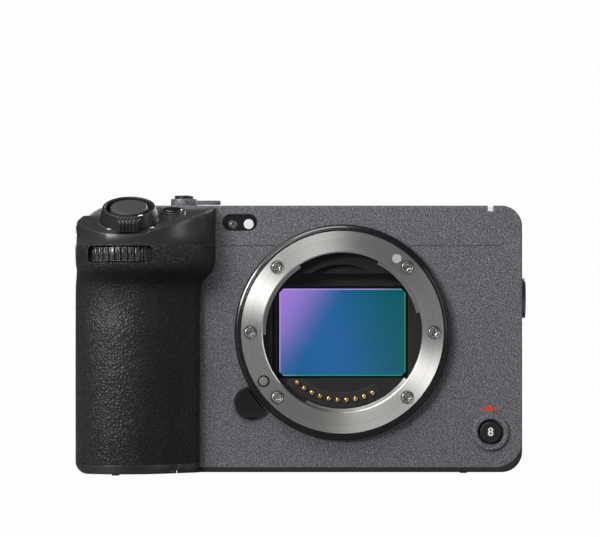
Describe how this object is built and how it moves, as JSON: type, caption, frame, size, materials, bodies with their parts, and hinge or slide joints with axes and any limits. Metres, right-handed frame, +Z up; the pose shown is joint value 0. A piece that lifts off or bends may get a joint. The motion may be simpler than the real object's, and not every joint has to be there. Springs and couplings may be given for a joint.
{
  "type": "digital cinema camera",
  "caption": "Compact cinema camera body with a grip, open lens mount showing the sensor, top and rear controls and a side-hinged monitor.",
  "frame": {"origin": "mouth of the tripod thread in the base, level with the feet", "axes": "+Z up, front and lens mount face -Y, +X to the right as seen from the front, along the body's length"},
  "size_m": [0.1317, 0.0848, 0.0816],
  "materials": {
    "grey_paint": "dark grey paint with fine light speckle",
    "black_plastic": "fine matte black",
    "black_gloss": "smooth black",
    "black_rubber": "matte rubber",
    "steel": "turned steel",
    "mount_steel": "satin steel brushed in circles",
    "cast_alloy": "cast light alloy",
    "index_white": "white enamel",
    "gold": "gold plated",
    "flocked_black": "dull black against stray light",
    "sensor_glass": "coated sensor glass, violet to teal",
    "board_green": "green board lacquer",
    "side_boss_metal": "grey painted bush",
    "diffuser_white": "milky diffuser",
    "lamp_clear": "clear lamp window",
    "grip_leather": "pebbled black leather texture",
    "screen_glass": "dark screen glass"
  },
  "bodies": {
    "camera_body": {"front_cover": "grey_paint", "side_cover": "grey_paint", "top_cover": "grey_paint", "rear_cover": "black_plastic", "base_plate": "black_plastic", "tripod_socket": "steel", "chassis_frame": "cast_alloy", "mount_base_ring": "black_gloss", "lens_mount_ring": "mount_steel", "mount_screws": "steel", "mount_index_dot": "index_white", "contact_block": "black_plastic", "contact_pins": "gold", "light_box": "flocked_black", "shutter_unit": "flocked_black", "heat_sink": "cast_alloy", "fan_housing": "black_plastic", "main_board": "board_green", "card_slot_unit": "steel", "port_sockets": "black_plastic", "thread_inserts": "side_boss_metal", "accessory_shoe": "steel", "sensor_window": "black_gloss", "window_optics": "diffuser_white", "tally_lamp": "lamp_clear", "record_button_ring": "grey_paint", "grip_skin": "grip_leather", "grip_frame": "black_plastic", "grip_top_cover": "black_plastic", "battery": "black_plastic"},
    "shutter_button": {"shutter_button": "black_plastic"},
    "zoom_lever": {"zoom_lever": "black_plastic"},
    "custom_button": {"custom_button": "black_gloss"},
    "front_dial": {"front_dial": "black_plastic"},
    "power_lever": {"power_lever": "grey_paint"},
    "top_record_button": {"top_record_button": "black_plastic"},
    "top_key_left": {"top_key_left": "black_plastic"},
    "top_key_right": {"top_key_right": "black_plastic"},
    "front_record_button": {"front_record_button": "black_gloss"},
    "lens_release_button": {"lens_release_button": "black_gloss"},
    "lens_lock_pin": {"lens_lock_pin": "steel"},
    "stabiliser_stage": {"stabiliser_stage": "cast_alloy"},
    "sensor": {"sensor_carrier": "cast_alloy", "image_sensor": "sensor_glass"},
    "fan_rotor": {"fan_rotor": "black_plastic"},
    "battery_door": {"battery_door": "black_plastic"},
    "door_latch": {"door_latch": "black_plastic"},
    "card_door": {"card_door": "black_plastic"},
    "audio_port_door": {"audio_port_door": "black_rubber"},
    "data_port_door": {"data_port_door": "black_rubber"},
    "monitor": {"monitor_arm": "black_plastic", "monitor_shell": "black_plastic", "monitor_screen": "screen_glass"},
    "rear_dial": {"rear_dial": "black_plastic"},
    "control_wheel": {"control_wheel": "black_plastic"},
    "wheel_button": {"wheel_button": "black_plastic"},
    "joystick_gimbal": {"joystick_gimbal": "black_plastic"},
    "joystick_cap": {"joystick_cap": "black_rubber"},
    "menu_button": {"menu_button": "black_plastic"},
    "playback_button": {"playback_button": "black_plastic"}
  },
  "joints": [
    {"name": "shutter_button_press", "type": "slide", "parent": "camera_body", "child": "shutter_button", "axis": [0, 0.4226, -0.9063], "range_m": [0, 0.0008], "stiffness_N_per_m": 700, "springref_m": -0.0004},
    {"name": "zoom_lever_turn", "type": "hinge", "parent": "camera_body", "child": "zoom_lever", "pos_m": [-0.0612, -0.034, 0.0734], "axis": [0, -0.4226, 0.9063], "range_deg": [-22, 22], "stiffness_Nm_per_rad": 0.02},
    {"name": "custom_button_press", "type": "slide", "parent": "camera_body", "child": "custom_button", "axis": [0, 0.2419, -0.9703], "range_m": [0, 0.0005], "stiffness_N_per_m": 700, "springref_m": -0.0004},
    {"name": "front_dial_turn", "type": "hinge", "parent": "camera_body", "child": "front_dial", "pos_m": [-0.0628, -0.0344, 0.0633], "axis": [0, 0, 1], "continuous": true},
    {"name": "power_lever_turn", "type": "hinge", "parent": "camera_body", "child": "power_lever", "pos_m": [-0.0471, 0.008, 0.079], "axis": [0, 0, 1], "range_deg": [0, 35]},
    {"name": "top_record_button_press", "type": "slide", "parent": "camera_body", "child": "top_record_button", "axis": [0, 0, -1], "range_m": [0, 0.0005], "stiffness_N_per_m": 700, "springref_m": -0.0004},
    {"name": "top_key_left_press", "type": "slide", "parent": "camera_body", "child": "top_key_left", "axis": [0, 0, -1], "range_m": [0, 0.0005], "stiffness_N_per_m": 700, "springref_m": -0.0004},
    {"name": "top_key_right_press", "type": "slide", "parent": "camera_body", "child": "top_key_right", "axis": [0, 0, -1], "range_m": [0, 0.0005], "stiffness_N_per_m": 700, "springref_m": -0.0004},
    {"name": "front_record_button_press", "type": "slide", "parent": "camera_body", "child": "front_record_button", "axis": [0, 1, 0], "range_m": [0, 0.0005], "stiffness_N_per_m": 700, "springref_m": -0.0004},
    {"name": "lens_release_button_press", "type": "slide", "parent": "camera_body", "child": "lens_release_button", "axis": [0, 1, 0], "range_m": [0, 0.0015], "stiffness_N_per_m": 700, "springref_m": -0.0004},
    {"name": "lens_lock_pin_slide", "type": "slide", "parent": "camera_body", "child": "lens_lock_pin", "axis": [0, 1, 0], "range_m": [0, 0.00135]},
    {"name": "stabiliser_shift_x", "type": "slide", "parent": "camera_body", "child": "stabiliser_stage", "axis": [1, 0, 0], "range_m": [-0.0015, 0.0015], "stiffness_N_per_m": 600},
    {"name": "stabiliser_shift_z", "type": "slide", "parent": "stabiliser_stage", "child": "sensor", "axis": [0, 0, 1], "range_m": [-0.0015, 0.0015], "stiffness_N_per_m": 600},
    {"name": "fan_spin", "type": "hinge", "parent": "camera_body", "child": "fan_rotor", "pos_m": [0.029, 0.0068, 0.052], "axis": [0, 1, 0], "continuous": true},
    {"name": "battery_door_hinge", "type": "hinge", "parent": "camera_body", "child": "battery_door", "pos_m": [-0.049, -0.01, 0.0014], "axis": [0, -1, 0], "range_deg": [0, 95]},
    {"name": "door_latch_slide", "type": "slide", "parent": "battery_door", "child": "door_latch", "axis": [1, 0, 0], "range_m": [0, 0.002]},
    {"name": "card_door_hinge", "type": "hinge", "parent": "camera_body", "child": "card_door", "pos_m": [-0.0762, -0.0002, 0.03], "axis": [0, 0, 1], "range_deg": [0, 100]},
    {"name": "audio_port_door_hinge", "type": "hinge", "parent": "camera_body", "child": "audio_port_door", "pos_m": [0.0514, 0.0037, 0.0268], "axis": [0, 0, -1], "range_deg": [0, 105]},
    {"name": "data_port_door_hinge", "type": "hinge", "parent": "camera_body", "child": "data_port_door", "pos_m": [0.0514, -0.0153, 0.0268], "axis": [0, 0, -1], "range_deg": [0, 105]},
    {"name": "monitor_hinge", "type": "hinge", "parent": "camera_body", "child": "monitor", "pos_m": [0.0482, 0.02965, 0.035], "axis": [0, 0, -1], "range_deg": [0, 176]},
    {"name": "rear_dial_turn", "type": "hinge", "parent": "camera_body", "child": "rear_dial", "pos_m": [-0.06, 0.019, 0.0718], "axis": [0, 0, 1], "continuous": true},
    {"name": "control_wheel_turn", "type": "hinge", "parent": "camera_body", "child": "control_wheel", "pos_m": [-0.046, 0.0265, 0.022], "axis": [0, 1, 0], "continuous": true},
    {"name": "wheel_button_press", "type": "slide", "parent": "camera_body", "child": "wheel_button", "axis": [0, -1, 0], "range_m": [0, 0.0005], "stiffness_N_per_m": 700, "springref_m": -0.0004},
    {"name": "joystick_tilt_updown", "type": "hinge", "parent": "camera_body", "child": "joystick_gimbal", "pos_m": [-0.042, 0.0228, 0.054], "axis": [1, 0, 0], "range_deg": [-8, 8], "stiffness_Nm_per_rad": 0.01},
    {"name": "joystick_tilt_sideways", "type": "hinge", "parent": "joystick_gimbal", "child": "joystick_cap", "pos_m": [-0.042, 0.0228, 0.054], "axis": [0, 0, 1], "range_deg": [-8, 8], "stiffness_Nm_per_rad": 0.01},
    {"name": "menu_button_press", "type": "slide", "parent": "camera_body", "child": "menu_button", "axis": [0, -1, 0], "range_m": [0, 0.0005], "stiffness_N_per_m": 700, "springref_m": -0.0004},
    {"name": "playback_button_press", "type": "slide", "parent": "camera_body", "child": "playback_button", "axis": [0, -1, 0], "range_m": [0, 0.0005], "stiffness_N_per_m": 700, "springref_m": -0.0004}
  ],
  "couplings": [
    {"joint": "lens_lock_pin_slide", "follows": "lens_release_button_press", "ratio": 0.9}
  ]
}
